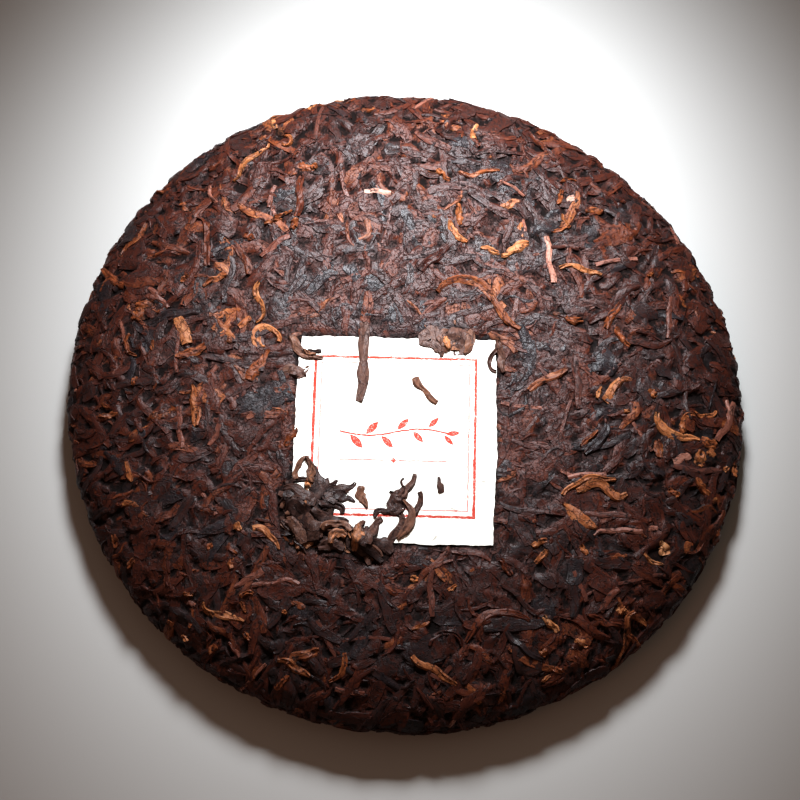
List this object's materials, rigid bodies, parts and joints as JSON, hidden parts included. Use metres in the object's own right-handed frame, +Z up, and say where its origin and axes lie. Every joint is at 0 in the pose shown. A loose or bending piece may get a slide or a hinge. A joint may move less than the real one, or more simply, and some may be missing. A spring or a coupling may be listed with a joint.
{
  "type": "pu erh tea cake",
  "caption": "Round pressed cake of dark pu erh tea, lying face up, with a domed face, a square paper ticket set in it and a shallow dimple underneath.",
  "frame": {"origin": "middle of the base, on the plane that the cake rests on", "axes": "+Z up out of the face, -Y towards the foot of the paper ticket, +X to the right as the face is read"},
  "size_m": [0.198, 0.2016, 0.0261],
  "materials": {
    "pressed_tea": "matte pressed dark tea leaf with a faint sheen, reddish brown stems and golden tips",
    "ticket_paper": "thin soft uncoated paper with fibres and a red printed border",
    "loose_leaf": "matte dry curled tea leaf"
  },
  "bodies": {
    "root": {"tea_cake": "pressed_tea", "paper_ticket": "ticket_paper", "ticket_strand": "loose_leaf", "ticket_twig": "loose_leaf", "ticket_fragment": "loose_leaf", "ticket_sprig": "loose_leaf", "ticket_corner_leaves": "loose_leaf", "ticket_top_leaves": "loose_leaf", "ticket_side_leaf": "loose_leaf", "ticket_corner_curl": "loose_leaf", "ticket_tab": "loose_leaf"}
  },
  "joints": []
}
